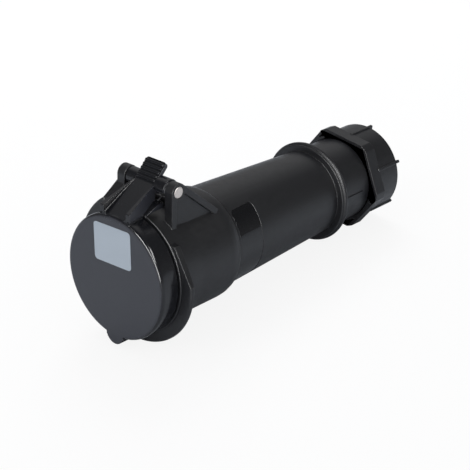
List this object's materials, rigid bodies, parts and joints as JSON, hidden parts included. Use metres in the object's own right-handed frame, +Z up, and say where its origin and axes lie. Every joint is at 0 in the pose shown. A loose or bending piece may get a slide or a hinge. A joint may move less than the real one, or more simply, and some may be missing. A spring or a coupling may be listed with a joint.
{
  "type": "industrial cable coupler",
  "caption": "Round cable-mounted socket connector with a sprung hinged lid and thumb lever, guard flange, tapered hollow handle and a screwed cable gland nut.",
  "frame": {"origin": "on the plug axis, in the plane of the closed lid's face", "axes": "+Y runs along the plug axis from the lid to the cable end, +Z is up through the hinge, +X is to the right seen from the lid's side"},
  "size_m": [0.0624, 0.1618, 0.0747],
  "materials": {
    "housing_plastic": "satin black moulded",
    "lid_plastic": "black moulded, satin face and glossy skirt",
    "panel_plastic": "gloss black",
    "seal_rubber": "matt black",
    "label_paper": "satin film, bare",
    "pin_steel": "satin",
    "spring_steel": "drawn wire",
    "insert_plastic": "matt",
    "sleeve_brass": "turned",
    "screw_steel": "zinc plated"
  },
  "bodies": {
    "housing": {"socket_housing": "housing_plastic", "handle_shell": "housing_plastic", "name_panel": "panel_plastic", "hinge_pin": "pin_steel", "lid_spring": "spring_steel", "contact_face": "insert_plastic", "contact_carrier": "insert_plastic", "terminal_cover": "insert_plastic", "carrier_screws": "screw_steel", "earth_sleeve": "sleeve_brass", "line_sleeve": "sleeve_brass", "neutral_sleeve": "sleeve_brass", "sleeve_rings": "spring_steel", "terminal_screws": "screw_steel", "housing_seal": "seal_rubber", "gland_seal": "seal_rubber", "clamp_basket": "insert_plastic"},
    "lid": {"hinged_lid": "lid_plastic", "lid_seal": "seal_rubber", "rating_label": "label_paper"},
    "ring": {"slip_ring": "screw_steel"},
    "nut": {"gland_nut": "housing_plastic"}
  },
  "joints": [
    {"name": "lid_hinge", "type": "hinge", "parent": "housing", "child": "lid", "pos_m": [0, 0.0206, 0.0348], "axis": [-1, 0, 0], "range_deg": [0, 104], "stiffness_Nm_per_rad": 0.06, "springref_deg": -91.67, "deforming": ["lid_spring"]},
    {"name": "gland_advance", "type": "slide", "parent": "housing", "child": "ring", "axis": [0, -1, 0], "range_m": [-0.0031, 0.00295]},
    {"name": "gland_turn", "type": "hinge", "parent": "ring", "child": "nut", "pos_m": [0, 0.15, 0], "axis": [0, -1, 0], "range_deg": [-360, 345]}
  ],
  "couplings": [
    {"joint": "gland_advance", "follows": "gland_turn", "m_per_rad": 0.00047746}
  ]
}
